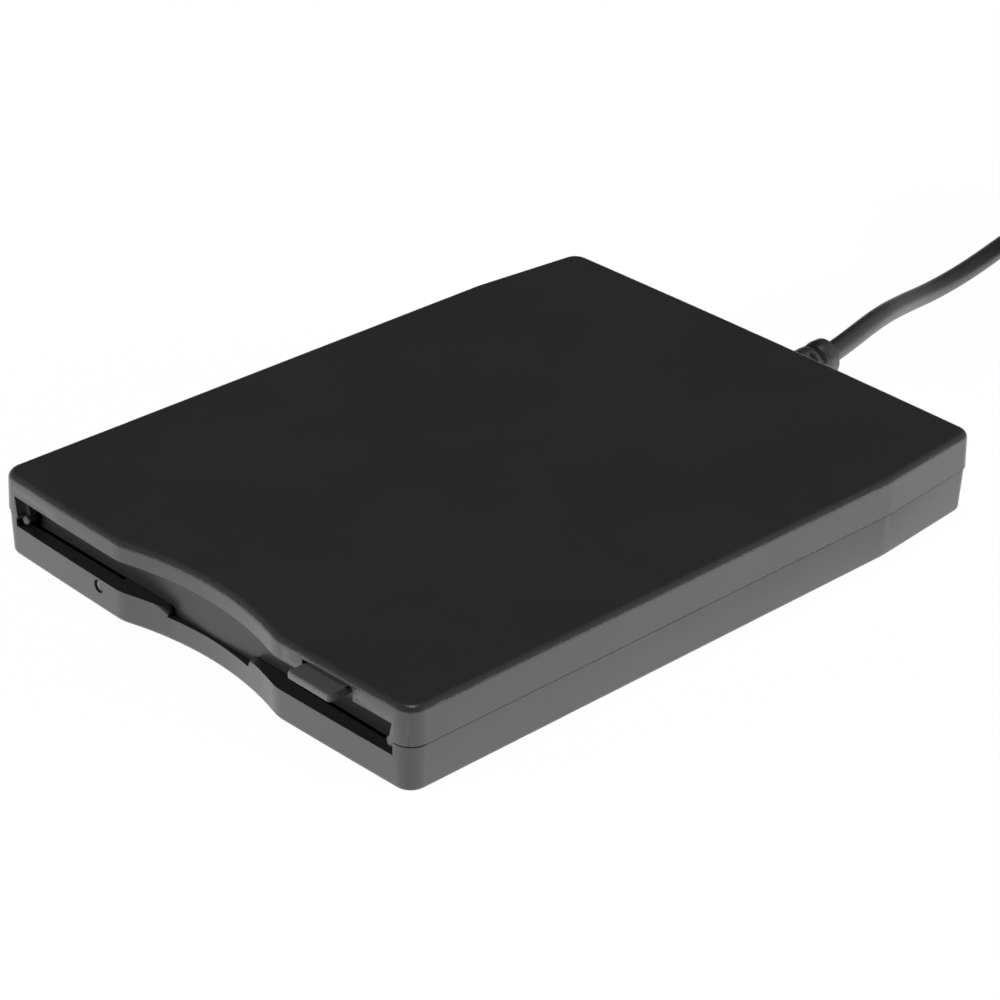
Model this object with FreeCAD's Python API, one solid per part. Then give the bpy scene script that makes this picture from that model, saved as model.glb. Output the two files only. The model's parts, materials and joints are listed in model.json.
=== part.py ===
# External floppy disk drive: a slim mechanism in a two-part moulded shell. Millimetres, +Z up, front faces -Y.
import FreeCAD, Part
import math
import os

V = FreeCAD.Vector

# Shell, overall
body_width = 104.0
body_depth = 137.7
cover_height = 15.65
foot_height = 0.8
button_out = 3.15
seam_above_base = 8.3
seam_gap = 0.25
wall = 1.9
floor_wall = 1.6
lower_inset = 0.23
upper_draft = 0.18
lower_draft = 0.36
top_edge_radius = 1.3
bottom_edge_radius = 0.9
front_corner_radius = 3.7
rear_corner_radius = 3.2
front_bow_radius = 1500.0
rear_bow = 0.5
taper_start = 24.6
taper_in = 2.26
kink_radius = 25.0

# Finger recess and slot
finger_x = 1.0
recess_depth = 3.25
recess_radius = 61.0
shoulder_radius = 9.0
slot_side_room = 2.05
slot_bottom = 7.0
slot_height = 5.5
lip_thickness = 2.5
front_wall_at_recess = 0.9
notch_width = 21.8
notch_depth = 1.9
peg_radius = 1.05

# Tongue along the parting line
tongue_thickness = 0.75
tongue_height = 1.2
tongue_clearance = 0.12

# Button and its window
button_side_inset = 19.4
button_width = 9.8
button_thickness = 1.25
button_top = 14.55
window_gap_left = 0.15
window_gap_right = 1.65
window_top = 15.15
button_stem_back = 18.0

# Dust door
door_thickness = 0.8
door_end_room = 2.65
door_gap = 0.1
door_pivot_z = 12.55
door_pin_radius = 0.5
door_bottom = 6.7
door_tab_bottom = 5.0

# Activity light
light_x = -24.7
light_z = 5.27
light_radius = 1.1
light_hole_clearance = 0.12

# Sheet-metal mechanism
running_clearance = 0.05
chassis_sheet = 0.7
chassis_side_room = 2.6
chassis_front_room = 6.125
chassis_back_room = 6.525
chassis_floor = 3.2
chassis_wall_top = 13.4
slide_sheet = 0.45
slide_side_gap = 0.3
slide_travel = 5.0
slide_front_setback = 2.0
slide_back_setback = 2.6
carrier_sheet = 0.5
carrier_side_gap = 0.25
carrier_front_room = 5.0
carrier_length = 84.6
carrier_base = 7.5
carrier_space = 4.4
carrier_lip = 6.0
carrier_drop = 1.9
pin_radius = 0.8
pin_clearance = 0.15
front_pin_inset = 12.0
rear_pin_inset = 12.6

# Springs
spring_side_inset = 10.5
spring_back_inset = 4.0
spring_radius = 1.6
spring_wire = 0.35
door_spring_room = 2.6

# Spindle
spindle_setback = 38.0
rotor_radius = 17.0
rotor_base = 4.95
hub_radius = 12.5
hub_top = 6.6
spindle_radius = 2.0
spindle_top = 7.95
bush_radius = 3.4
coil_count = 9

# Head carriage, guide rods, lead screw and stepper motor
track_outer_radius = 39.5
track_inner_radius = 24.7
rod_x = 13.0
rod_radius = 1.0
rod_z = 4.5
arm_pivot_inset = 2.5
rod_front_room = 2.9
carriage_end_gap = 0.3
nut_length = 1.6
arm_pivot_z = 9.6
arm_pin_radius = 0.7
screw_x = 24.0
screw_z = 7.0
screw_radius = 1.1
motor_radius = 4.3
motor_length = 9.6
motor_back_room = 0.4

# Shutter lever
lever_side_inset = 11.8
lever_back_inset = 8.6
lever_length = 22.0
lever_rest_angle = -60.0
lever_swing = 55.0

# Boards
board_thickness = 0.8
board_side_gap = 1.5
board_rod_gap = 5.5
board_back_gap = 0.5
board_length = 25.0
front_board_reach = 2.4
front_board_length = 8.6

# Cable, strain relief and plug
cable_radius = 2.0
relief_x = 3.9
relief_length = 12.7
relief_root_radius = 3.35
relief_ring_radius = 3.7
relief_neck_radius = 2.5
coil_turn_radius = 22.0
coil_half_section = 4.2
plug_body_width = 15.6
plug_body_height = 8.2
plug_body_length = 22.0
plug_shell_width = 12.0
plug_shell_height = 4.5
plug_shell_length = 18.6
plug_shell_wall = 0.3

# Rubber feet and screws
foot_radius = 4.0
foot_side_inset = 10.0
front_foot_inset = 13.275
rear_foot_inset = 20.425
screw_head_radius = 2.2
case_screw_radius = 1.15
left_front_screw_inset = 17.5
left_rear_screw_inset = 14.5
right_screw_inset = 13.5
front_screw_setback = 10.5
rear_screw_setback = 29.5
rear_post_side_inset = 8.74
rear_post_inset = 4.8

# Places that follow from the sizes above
half_width = body_width / 2
front_y = -(body_depth + button_out) / 2 + button_out
rear_y = (body_depth + button_out) / 2
front_corner_y = front_y + half_width ** 2 / (2 * front_bow_radius)
rear_corner_y = rear_y - rear_bow
kink_y = rear_corner_y - taper_start
rear_half = half_width - taper_in
base_z = foot_height
top_z = foot_height + cover_height
seam_z = foot_height + seam_above_base
inner_front = front_y + recess_depth + front_wall_at_recess
inner_floor = base_z + floor_wall
inner_top = top_z - floor_wall
slot_top = slot_bottom + slot_height
floor_top = chassis_floor + chassis_sheet
chassis_half_width = half_width - wall - chassis_side_room
chassis_front = inner_front + chassis_front_room
chassis_back = rear_corner_y - wall - chassis_back_room
slide_half_width = chassis_half_width - chassis_sheet - slide_side_gap
carrier_half_width = slide_half_width - slide_sheet - carrier_side_gap
carrier_front = chassis_front + carrier_front_room
carrier_back = carrier_front + carrier_length
carrier_top = carrier_base + 2 * carrier_sheet + carrier_space
slide_front = carrier_front + slide_front_setback
slide_back = carrier_back - slide_back_setback
pin_rows = (carrier_front + front_pin_inset, carrier_back - rear_pin_inset)
pin_z = carrier_base + carrier_sheet + carrier_space / 2
slot_half_width = carrier_half_width + slot_side_room
door_half_width = slot_half_width - door_end_room
button_x = half_width - button_side_inset
button_tip = front_y - button_out
spring_x = slide_half_width - spring_side_inset
spring_y = slide_back - spring_back_inset
spindle_y = carrier_front + spindle_setback
head_y = spindle_y + track_outer_radius
head_travel = track_outer_radius - track_inner_radius
rod_front = spindle_y + rotor_radius + rod_front_room
motor_front = chassis_back - motor_length - motor_back_room
carriage_back = motor_front - chassis_sheet - carriage_end_gap
nut_front = carriage_back - nut_length
arm_pivot_y = motor_front - arm_pivot_inset
lever_x = lever_side_inset - carrier_half_width
lever_y = carrier_back - lever_back_inset
board_x0 = board_side_gap - chassis_half_width
board_x1 = -rod_x - board_rod_gap
board_y1 = chassis_back - board_back_gap
board_y0 = board_y1 - board_length
front_board_front = chassis_front - front_board_reach
foot_x = half_width - foot_side_inset
foot_rows = (front_y + front_foot_inset, rear_y - rear_foot_inset)
peg_x = slot_half_width - 0.65
door_front = inner_front + door_gap
door_back = door_front + door_thickness
relief_end = rear_y + relief_length


def box(x0, x1, y0, y1, z0, z1):
    return Part.makeBox(x1 - x0, y1 - y0, z1 - z0, V(x0, y0, z0))


def rod(radius, length, base, axis):
    return Part.makeCylinder(radius, length, base, axis)


def joined(shapes):
    return shapes[0].multiFuse(shapes[1:]).removeSplitter()


def fillet_where(shape, radius, test):
    edges = [edge for edge in shape.Edges if test(edge)]
    return shape.makeFillet(radius, edges)


def is_upright(edge):
    box_of_edge = edge.BoundBox
    return box_of_edge.ZLength > 0.05 and box_of_edge.XLength < 1e-4 and box_of_edge.YLength < 1e-4


def on_level(edge, z):
    box_of_edge = edge.BoundBox
    return abs(box_of_edge.ZMin - z) < 1e-4 and abs(box_of_edge.ZMax - z) < 1e-4


# Outline of the shell, moved inwards by a given inset
def front_bow(x, inset):
    return front_y + inset + x * x / (2 * front_bow_radius)


def opposite(point):
    return V(-point.x, point.y, point.z)


# The side turns in gently before the rear corner: start, middle and end of that turn on the right
def kink_points(side, rear_side, inset, z):
    taper = V(rear_side - side, rear_corner_y - inset - kink_y, 0)
    turn = math.atan2(-taper.x, taper.y)
    radius = kink_radius - inset
    setback = radius * math.tan(turn / 2)
    start = V(side, kink_y - setback, z)
    middle = start + V(radius * (math.cos(turn / 2) - 1), radius * math.sin(turn / 2), 0)
    end = start + V(radius * (math.cos(turn) - 1), radius * math.sin(turn), 0)
    return start, middle, end


def rounded_outline(inset, z):
    side = half_width - inset
    rear_side = rear_half - inset
    chord = math.sqrt(recess_depth * (2 * (recess_radius + inset) - recess_depth))
    left = finger_x - chord
    right = finger_x + chord
    middle_left = (left - side) / 2
    middle_right = (right + side) / 2
    corner_left = V(-side, front_bow(side, inset), z)
    shoulder_left = V(left, front_bow(left, inset), z)
    shoulder_right = V(right, front_bow(right, inset), z)
    corner_right = V(side, front_bow(side, inset), z)
    back_right = V(rear_side, rear_corner_y - inset, z)
    back_left = V(-rear_side, rear_corner_y - inset, z)
    kink_start, kink_middle, kink_end = kink_points(side, rear_side, inset, z)
    edges = [
        Part.Arc(corner_left, V(middle_left, front_bow(middle_left, inset), z), shoulder_left),
        Part.Arc(shoulder_left, V(finger_x, front_y + recess_depth + inset, z), shoulder_right),
        Part.Arc(shoulder_right, V(middle_right, front_bow(middle_right, inset), z), corner_right),
        Part.LineSegment(corner_right, kink_start),
        Part.Arc(kink_start, kink_middle, kink_end),
        Part.LineSegment(kink_end, back_right),
        Part.Arc(back_right, V(0, rear_y - inset, z), back_left),
        Part.LineSegment(back_left, opposite(kink_end)),
        Part.Arc(opposite(kink_end), opposite(kink_middle), opposite(kink_start)),
        Part.LineSegment(opposite(kink_start), corner_left),
    ]
    prism = Part.Face(Part.Wire([edge.toShape() for edge in edges])).extrude(V(0, 0, 1))
    rounds = [
        (front_corner_radius - inset, (corner_left, corner_right)),
        (shoulder_radius - inset, (shoulder_left, shoulder_right)),
        (rear_corner_radius - inset, (back_left, back_right)),
    ]
    for radius, corners in rounds:
        for corner in corners:
            prism = fillet_where(
                prism, radius, lambda e: is_upright(e) and e.CenterOfMass.distanceToPoint(corner + V(0, 0, 0.5)) < 0.05
            )
    flat = [face for face in prism.Faces if abs(face.BoundBox.ZMax - z) < 1e-4]
    return flat[0].OuterWire


def drafted_shell(z0, inset0, z1, inset1):
    return Part.makeLoft([rounded_outline(inset0, z0), rounded_outline(inset1, z1)], True, True)


# Room inside the shell: straight walls, its front wall flat behind the recess
def room(side_wall, z0, z1, front=None):
    front = inner_front if front is None else front
    side = half_width - side_wall
    rear_side = rear_half - side_wall
    back = rear_corner_y - side_wall
    points = [
        V(-side, front, z0),
        V(side, front, z0),
        V(side, kink_y, z0),
        V(rear_side, back, z0),
        V(-rear_side, back, z0),
        V(-side, kink_y, z0),
    ]
    return Part.Face(Part.makePolygon(points + points[:1])).extrude(V(0, 0, z1 - z0))


def slot_cutter():
    return box(-slot_half_width, slot_half_width, front_y - 5, inner_front + 0.5, slot_bottom, slot_top)


# The thick front wall is cored out behind the lips, beside the recess
def lip_cores(z0, z1):
    back = inner_front + 0.5
    left = box(-half_width + 4.4, -21.5, front_corner_y + lip_thickness, back, z0, z1)
    right = box(23.5, half_width - 4.4, front_corner_y + lip_thickness, back, z0, z1)
    return left.fuse(right)


def rear_post_places():
    x = rear_half - rear_post_side_inset
    y = rear_corner_y - rear_post_inset
    return [(-x, y), (x, y)]


def case_screw_places():
    front = chassis_front + front_screw_setback
    rear = chassis_back - rear_screw_setback
    right = chassis_half_width - right_screw_inset
    left_front = left_front_screw_inset - chassis_half_width
    left_rear = left_rear_screw_inset - chassis_half_width
    return [(left_front, front), (right, front), (left_rear, rear), (right, rear)]


def cable_hole():
    return rod(relief_neck_radius, 12, V(relief_x, rear_y - 8, seam_z), V(0, 1, 0))


def upper_cover():
    bottom = seam_z + seam_gap / 2
    outer = drafted_shell(bottom, 0, top_z, upper_draft)
    outer = fillet_where(outer, top_edge_radius, lambda e: on_level(e, top_z))
    shell = outer.cut(room(wall, bottom - 1, inner_top))
    rebate = half_width - (half_width - wall + tongue_thickness + tongue_clearance)
    shell = shell.cut(room(rebate, bottom - 1, seam_z + tongue_height + 0.3))
    shell = shell.cut(slot_cutter())
    shell = shell.cut(lip_cores(bottom - 1, inner_top))
    window_left = button_x - button_width / 2 - window_gap_left
    window_right = button_x + button_width / 2 + window_gap_right
    window = box(window_left, window_right, front_y - 5, inner_front + 0.5, slot_bottom, window_top)
    window = fillet_where(
        window, 1.0, lambda e: on_level(e, window_top) and abs(e.BoundBox.XMin - window_right) < 1e-4
        and e.BoundBox.XLength < 1e-4
    )
    shell = shell.cut(window)
    parts = [shell]
    for side in (-1, 1):
        # ears that carry the pin of the dust door
        x0, x1 = sorted((side * (door_half_width + 0.3), side * (door_half_width + 1.7)))
        ear = box(x0, x1, inner_front - 0.2, door_back + 0.9, door_pivot_z - 1.0, inner_top + 0.1)
        hole = rod(
            door_pin_radius + running_clearance, 4, V(x0 - 1, door_front + door_thickness / 2, door_pivot_z), V(1, 0, 0)
        )
        parts.append(ear.cut(hole))
        # locating peg below the end wall of the slot
        peg_front = front_corner_y + 0.9
        peg = rod(peg_radius, 2.4, V(side * peg_x, peg_front, seam_z), V(0, 1, 0))
        peg = fillet_where(peg, 0.45, lambda e: e.BoundBox.YMax < peg_front + 1e-3)
        x0, x1 = sorted((side * (peg_x - 0.6), side * (peg_x + 0.6)))
        web = box(x0, x1, peg_front + 0.6, peg_front + 2.4, seam_z, slot_top + 0.3)
        parts.append(peg.fuse(web))
        # row of ribs that stiffens the top
        for y in (-30.0, 0.0, 30.0):
            x0, x1 = sorted((side * (half_width - wall + 0.2), side * (chassis_half_width + 0.6)))
            parts.append(box(x0, x1, y - 0.5, y + 0.5, seam_z + tongue_height + 0.6, inner_top + 0.1))
    for x, y in rear_post_places():
        post = rod(2.2, inner_top + 0.1 - seam_z - 0.2, V(x, y, seam_z + 0.2), V(0, 0, 1))
        pilot = rod(case_screw_radius - 0.25, 4.5, V(x, y, seam_z - 0.5), V(0, 0, 1))
        parts.append(post.cut(pilot))
    return joined(parts).cut(cable_hole())


def lower_cover():
    top = seam_z - seam_gap / 2
    outer = drafted_shell(base_z, lower_inset + lower_draft, top, lower_inset)
    outer = fillet_where(outer, bottom_edge_radius, lambda e: on_level(e, base_z))
    tongue = room(wall - tongue_thickness, top - 0.5, seam_z + tongue_height, inner_front + 5)
    shell = outer.fuse(tongue)
    shell = shell.cut(room(wall, inner_floor, top_z))
    shell = shell.cut(slot_cutter())
    shell = shell.cut(lip_cores(slot_bottom - 0.6, top_z))
    notch = box(
        finger_x + 0.2 - notch_width / 2, finger_x + 0.2 + notch_width / 2,
        front_y - 5, inner_front + 0.5, slot_bottom - notch_depth, top_z,
    )
    shell = shell.cut(notch)
    hole = rod(light_radius + light_hole_clearance, 12, V(light_x, front_y - 3, light_z), V(0, 1, 0))
    shell = shell.cut(hole)
    for side in (-1, 1):
        pocket = rod(peg_radius + 0.12, 4.0, V(side * peg_x, front_corner_y + 0.7, seam_z), V(0, 1, 0))
        shell = shell.cut(pocket)
    parts = [shell]
    for x, y in case_screw_places():
        parts.append(rod(3.0, chassis_floor - inner_floor + 0.1, V(x, y, inner_floor - 0.1), V(0, 0, 1)))
    for x, y in rear_post_places():
        parts.append(rod(2.6, seam_z + 0.1 - inner_floor, V(x, y, inner_floor - 0.1), V(0, 0, 1)))
    shell = joined(parts)
    for x, y in case_screw_places() + rear_post_places():
        shell = shell.cut(rod(case_screw_radius + 0.15, 20, V(x, y, base_z - 1), V(0, 0, 1)))
        shell = shell.cut(rod(screw_head_radius + 0.2, 1.15, V(x, y, base_z - 0.1), V(0, 0, 1)))
    return shell.cut(cable_hole())


def eject_button():
    left = button_x - button_width / 2
    right = button_x + button_width / 2
    tip = button_tip
    back = front_y + 6.275
    bottom = button_top - button_thickness
    tab = box(left, right, tip, back, bottom, button_top)
    tab = fillet_where(
        tab, 0.9, lambda e: is_upright(e) and abs(e.BoundBox.YMin - tip) < 1e-4
    )
    tab = fillet_where(tab, 0.45, lambda e: on_level(e, button_top) and e.BoundBox.YMin < back - 0.5)
    tab = fillet_where(tab, 0.35, lambda e: on_level(e, bottom) and e.BoundBox.YMax < tip + 1.0)
    stem = box(left + 0.6, right - 0.6, back - 0.2, tip + button_stem_back, bottom + 0.25, button_top)
    return joined([tab, stem])


def dust_door():
    pivot_y = door_front + door_thickness / 2
    panel = box(-door_half_width, door_half_width, door_front, door_back, door_bottom, door_pivot_z)
    tab_half = notch_width / 2 - 0.6
    middle = finger_x + 0.2
    tab = box(middle - tab_half, middle + tab_half, door_front, door_back, door_tab_bottom, door_bottom + 0.1)
    spring_gap = box(
        -door_half_width - 1, -door_half_width + door_spring_room, door_front - 1, door_back + 1,
        door_pivot_z - 1.25, door_pivot_z + 1,
    )
    panel = panel.cut(spring_gap)
    barrel_length = 2 * door_half_width - door_spring_room
    barrel = rod(
        door_thickness / 2, barrel_length, V(door_spring_room - door_half_width, pivot_y, door_pivot_z), V(1, 0, 0)
    )
    reach = door_half_width + 1.3
    pin = rod(door_pin_radius, 2 * reach, V(-reach, pivot_y, door_pivot_z), V(1, 0, 0))
    ribs = [box(x - 0.4, x + 0.4, door_back - 0.1, door_back + 0.3, 8.0, 11.5) for x in (-30.0, 30.0)]
    return joined([panel, tab, barrel, pin] + ribs)


# Torsion spring of square wire about +Z, resting on z = 0, with a leg forwards and one backwards
def torsion_spring(radius, wire, turns, front_leg, back_leg):
    pitch = wire * 1.25
    half = wire / 2
    corners = [
        V(radius - half, 0, 0),
        V(radius + half, 0, 0),
        V(radius + half, 0, wire),
        V(radius - half, 0, wire),
    ]
    section = Part.makePolygon(corners + corners[:1])
    helix = Part.makeHelix(pitch, pitch * turns, radius)
    helix.translate(V(0, 0, half))
    coil = Part.Wire(helix.Edges).makePipeShell([section], True, True)
    low_leg = box(radius - half, radius + half, -front_leg, 0.1, 0, wire)
    top = pitch * turns
    high_leg = box(radius - half, radius + half, -0.1, back_leg, top, top + wire)
    return joined([coil, low_leg, high_leg])


def light_pipe():
    tip = front_y + light_x ** 2 / (2 * front_bow_radius) + lower_inset - 0.05
    dome_radius = 2.2
    length = front_board_front - 0.2 - tip
    body = rod(light_radius, length, V(light_x, tip, light_z), V(0, 1, 0))
    ball = Part.makeSphere(dome_radius, V(light_x, tip + dome_radius, light_z))
    long_ball = ball.fuse(rod(dome_radius, length, V(light_x, tip + dome_radius, light_z), V(0, 1, 0)))
    return body.common(long_ball)


def light_source():
    front = front_board_front - 0.2
    return box(light_x - 1.5, light_x + 1.5, front, front + 2.2, floor_top + board_thickness, light_z + 1.3)


def front_board():
    front = front_board_front
    left = light_x - 12.8
    right = light_x + 10.7
    return box(left, right, front, front + front_board_length, floor_top, floor_top + board_thickness)


def sensor_switches():
    base = floor_top + board_thickness
    switches = []
    middle = front_board_front + 6.4
    for offset in (-10.3, -4.8, 6.7):
        x = light_x + offset
        body = box(x - 2.0, x + 2.0, middle - 1.5, middle + 1.5, base, base + 1.2)
        plunger = rod(0.6, 0.6, V(x, middle, base + 1.2), V(0, 0, 1))
        switches.append(body.fuse(plunger).removeSplitter())
    return Part.makeCompound(switches)


def rubber_feet():
    feet = []
    for x in (-foot_x, foot_x):
        for y in foot_rows:
            foot = rod(foot_radius, foot_height, V(x, y, 0), V(0, 0, 1))
            foot = foot.makeChamfer(0.2, [e for e in foot.Edges if on_level(e, 0)])
            feet.append(foot)
    return Part.makeCompound(feet)


def countersunk_screw(x, y, length):
    head = rod(screw_head_radius, 0.9, V(x, y, base_z + 0.15), V(0, 0, 1))
    recess = box(x - 1.2, x + 1.2, y - 0.22, y + 0.22, base_z, base_z + 0.65)
    cross = box(x - 0.22, x + 0.22, y - 1.2, y + 1.2, base_z, base_z + 0.65)
    shank = rod(case_screw_radius, length, V(x, y, base_z + 1.0), V(0, 0, 1))
    return head.fuse(shank).cut(recess.fuse(cross))


def case_screws():
    return Part.makeCompound([countersunk_screw(x, y, floor_top - base_z - 1.0) for x, y in case_screw_places()])


def rear_screws():
    length = seam_z + 3.2 - base_z - 1.0
    return Part.makeCompound([slim_screw(x, y, length) for x, y in rear_post_places()])


def slim_screw(x, y, length):
    screw = countersunk_screw(x, y, seam_z - base_z - 1.0)
    thread = rod(case_screw_radius - 0.25, length, V(x, y, base_z + 1.0), V(0, 0, 1))
    return screw.fuse(thread).removeSplitter()


# Sheet-metal chassis: floor, side walls with upright pin slots, rear bracket, rod and screw supports
def chassis():
    w = chassis_half_width
    t = chassis_sheet
    floor = box(-w, w, chassis_front, chassis_back, chassis_floor, floor_top)
    bracket_left = -rod_x - 4.5
    window = box(bracket_left, screw_x + 6.0, rod_front + 0.6, motor_front - t, chassis_floor - 1, floor_top + 1)
    bay_half = motor_radius + 0.6
    motor_bay = box(screw_x - bay_half, screw_x + bay_half, motor_front - 0.1, chassis_back + 1, 2, 5)
    floor = floor.cut(window).cut(motor_bay)
    parts = [floor]
    for side in (-1, 1):
        x0, x1 = sorted((side * w, side * (w - t)))
        side_wall = box(x0, x1, chassis_front, chassis_back, chassis_floor, chassis_wall_top)
        for y in pin_rows:
            reach = pin_radius + pin_clearance
            slot = box(x0 - 1, x1 + 1, y - reach, y + reach, pin_z - carrier_drop - reach, pin_z + reach)
            side_wall = side_wall.cut(slot)
        lightening = box(x0 - 1, x1 + 1, pin_rows[0] + 15.0, pin_rows[1] - 15.0, 8.0, 11.5)
        lightening = fillet_where(lightening, 1.2, lambda e: e.BoundBox.XLength > 0.5)
        side_wall = side_wall.cut(lightening)
        parts.append(side_wall)
    for x in (-rod_x, rod_x):
        parts.append(box(x - 2.2, x + 2.2, rod_front - 0.3, rod_front + 0.6, chassis_floor, rod_z + rod_radius + 0.9))
    rear = box(bracket_left, screw_x + 8.0, motor_front - t, motor_front, chassis_floor, screw_z + motor_radius + 0.6)
    rear = rear.cut(box(-9.5, 9.5, motor_front - t - 1, motor_front + 1, floor_top, 20))
    parts.append(rear)
    support = nut_front - head_travel - 0.9
    parts.append(box(screw_x - 3.5, screw_x + 6.0, support, support + t, chassis_floor, screw_z + 1.7))
    for side in (-1, 1):
        parts.append(rod(spring_radius - spring_wire, 2.4, V(side * spring_x, spring_y, floor_top), V(0, 0, 1)))
        x0, x1 = sorted((side * (spring_x + 1.0), side * (spring_x + 2.4)))
        parts.append(box(x0, x1, spring_y + 3.9, spring_y + 4.6, floor_top, floor_top + 2.4))
    body = joined(parts)
    for x in (-rod_x, rod_x):
        body = body.cut(rod(rod_radius, 60, V(x, rod_front, rod_z), V(0, 1, 0)))
    body = body.cut(rod(screw_radius * 0.45 + running_clearance, 3, V(screw_x, support - 1.2, screw_z), V(0, 1, 0)))
    body = body.cut(rod(screw_radius + 0.3, 3, V(screw_x, motor_front - 1.5, screw_z), V(0, 1, 0)))
    for x, y in case_screw_places():
        body = body.cut(rod(case_screw_radius, 6, V(x, y, 1), V(0, 0, 1)))
    return body


# Slide plate: side flanges with sloping pin slots that lower the carrier as the button comes out
def slide_plate():
    w = slide_half_width
    t = slide_sheet
    z0 = floor_top + 0.1
    parts = []
    for side in (-1, 1):
        x0, x1 = sorted((side * w, side * (w - t)))
        flange = box(x0, x1, slide_front, slide_back, z0, 12.2)
        for y in pin_rows:
            reach = pin_radius + pin_clearance
            high = V(x0 - 1, y, pin_z)
            low = V(x0 - 1, y + slide_travel, pin_z - carrier_drop)
            along = (low - high).normalize()
            across = V(0, -along.z, along.y) * reach
            outline = [high + across, low + across, low - across, high - across]
            ramp = Part.Face(Part.makePolygon(outline + outline[:1])).extrude(V(3, 0, 0))
            ramp = ramp.fuse([rod(reach, 3, high, V(1, 0, 0)), rod(reach, 3, low, V(1, 0, 0))])
            flange = flange.cut(ramp)
        strip = box(*sorted((side * w, side * (w - 8.0))), slide_front, slide_back, z0, z0 + t)
        parts.append(flange.cut(box(x0 - 1, x1 + 1, pin_rows[0] + 18.0, pin_rows[1] - 12.0, 6.5, 10.5)))
        parts.append(strip)
    parts.append(box(-w, w, slide_front + 6.0, slide_front + 11.0, z0, z0 + t))
    arm_top = button_top - button_thickness + 0.25
    arm_back = button_tip + button_stem_back
    parts.append(box(w - t, w, arm_back - 3.6, slide_front + 6.0, z0 + 4, arm_top))
    parts.append(box(button_x - 5.0, w, arm_back - 3.6, arm_back - 0.2, arm_top - t, arm_top))
    for side in (-1, 1):
        x0, x1 = sorted((side * (spring_x + 1.2), side * (spring_x + 3.0)))
        parts.append(box(x0, x1, spring_y - 6.0, spring_y - 5.0, z0, z0 + 2.0))
    return joined(parts)


def eject_springs():
    spring = torsion_spring(spring_radius, spring_wire, 3, 4.9, 3.9)
    spring.translate(V(spring_x, spring_y, floor_top))
    return Part.makeCompound([spring, spring.mirror(V(0, 0, 0), V(1, 0, 0))])


def door_spring():
    spring = torsion_spring(0.85, 0.28, 3, 0.9, 3.2)
    spring.rotate(V(0, 0, 0), V(0, 1, 0), -90)
    spring.rotate(V(0, 0, 0), V(1, 0, 0), -90)
    spring.translate(V(-door_half_width + door_spring_room - 0.2, door_front + door_thickness / 2, door_pivot_z))
    return spring


# Carrier: the sleeve that takes the disk, with four pins in the slots of the plates beside it
def disk_carrier():
    w = carrier_half_width
    t = carrier_sheet
    roof = box(-w, w, carrier_front, carrier_back, carrier_top - t, carrier_top)
    head_window = box(-9.0, 9.0, rod_front - 3.9, carrier_back + 1, carrier_top - 2, carrier_top + 1)
    roof = roof.cut(head_window)
    reach = lever_length
    swept = rod(reach + 1.1, 3, V(lever_x, lever_y, carrier_top - 1.5), V(0, 0, 1))
    swept = swept.cut(rod(reach - 1.1, 3, V(lever_x, lever_y, carrier_top - 1.5), V(0, 0, 1)))
    start = math.radians(lever_rest_angle - 4)
    stop = math.radians(lever_rest_angle + lever_swing + 4)
    far = 2 * reach
    wedge_points = [
        V(lever_x, lever_y, carrier_top - 1.5),
        V(lever_x + far * math.cos(start), lever_y + far * math.sin(start), carrier_top - 1.5),
        V(lever_x + far * math.cos(stop), lever_y + far * math.sin(stop), carrier_top - 1.5),
    ]
    wedge = Part.Face(Part.makePolygon(wedge_points + wedge_points[:1])).extrude(V(0, 0, 3))
    roof = roof.cut(swept.common(wedge))
    roof = roof.cut(rod(0.8, 3, V(lever_x, lever_y, carrier_top - 1.5), V(0, 0, 1)))
    parts = [roof]
    for side in (-1, 1):
        x0, x1 = sorted((side * w, side * (w - t)))
        parts.append(box(x0, x1, carrier_front, carrier_back, carrier_base, carrier_top))
        x0, x1 = sorted((side * w, side * (w - carrier_lip)))
        parts.append(box(x0, x1, carrier_front, carrier_back, carrier_base, carrier_base + t))
        for y in pin_rows:
            pin = rod(pin_radius, chassis_half_width - 0.15 - w, V(side * w, y, pin_z), V(side, 0, 0))
            parts.append(pin)
    return joined(parts)


def shutter_lever():
    z0 = carrier_top + 0.1
    plate = box(0, lever_length, -1.3, 1.3, z0, z0 + 0.5)
    eye = rod(2.4, 0.5, V(0, 0, z0), V(0, 0, 1))
    tip = rod(1.3, 0.5, V(lever_length, 0, z0), V(0, 0, 1))
    finger = rod(0.7, z0 - (carrier_base + 1.6), V(lever_length, 0, carrier_base + 1.6), V(0, 0, 1))
    lever = joined([plate, eye, tip, finger])
    lever = lever.cut(rod(0.8 + running_clearance, 2, V(0, 0, z0 - 0.5), V(0, 0, 1)))
    lever.rotate(V(0, 0, 0), V(0, 0, 1), lever_rest_angle)
    lever.translate(V(lever_x, lever_y, 0))
    return lever


def lever_rivet():
    shank = rod(0.8, 1.2, V(lever_x, lever_y, carrier_top - carrier_sheet), V(0, 0, 1))
    head = rod(1.5, 0.3, V(lever_x, lever_y, carrier_top + 0.7), V(0, 0, 1))
    foot = rod(1.5, 0.25, V(lever_x, lever_y, carrier_top - carrier_sheet - 0.25), V(0, 0, 1))
    return joined([shank, head, foot])


# Flat brushless motor
def stator_board():
    side = rotor_radius + 5.0
    front = spindle_y - rotor_radius - 4.0
    back = spindle_y + rotor_radius + 1.5
    board = box(-side, side, front, back, floor_top, floor_top + 0.5)
    return board.cut(rod(bush_radius + 0.05, 3, V(0, spindle_y, floor_top - 1), V(0, 0, 1)))


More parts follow.
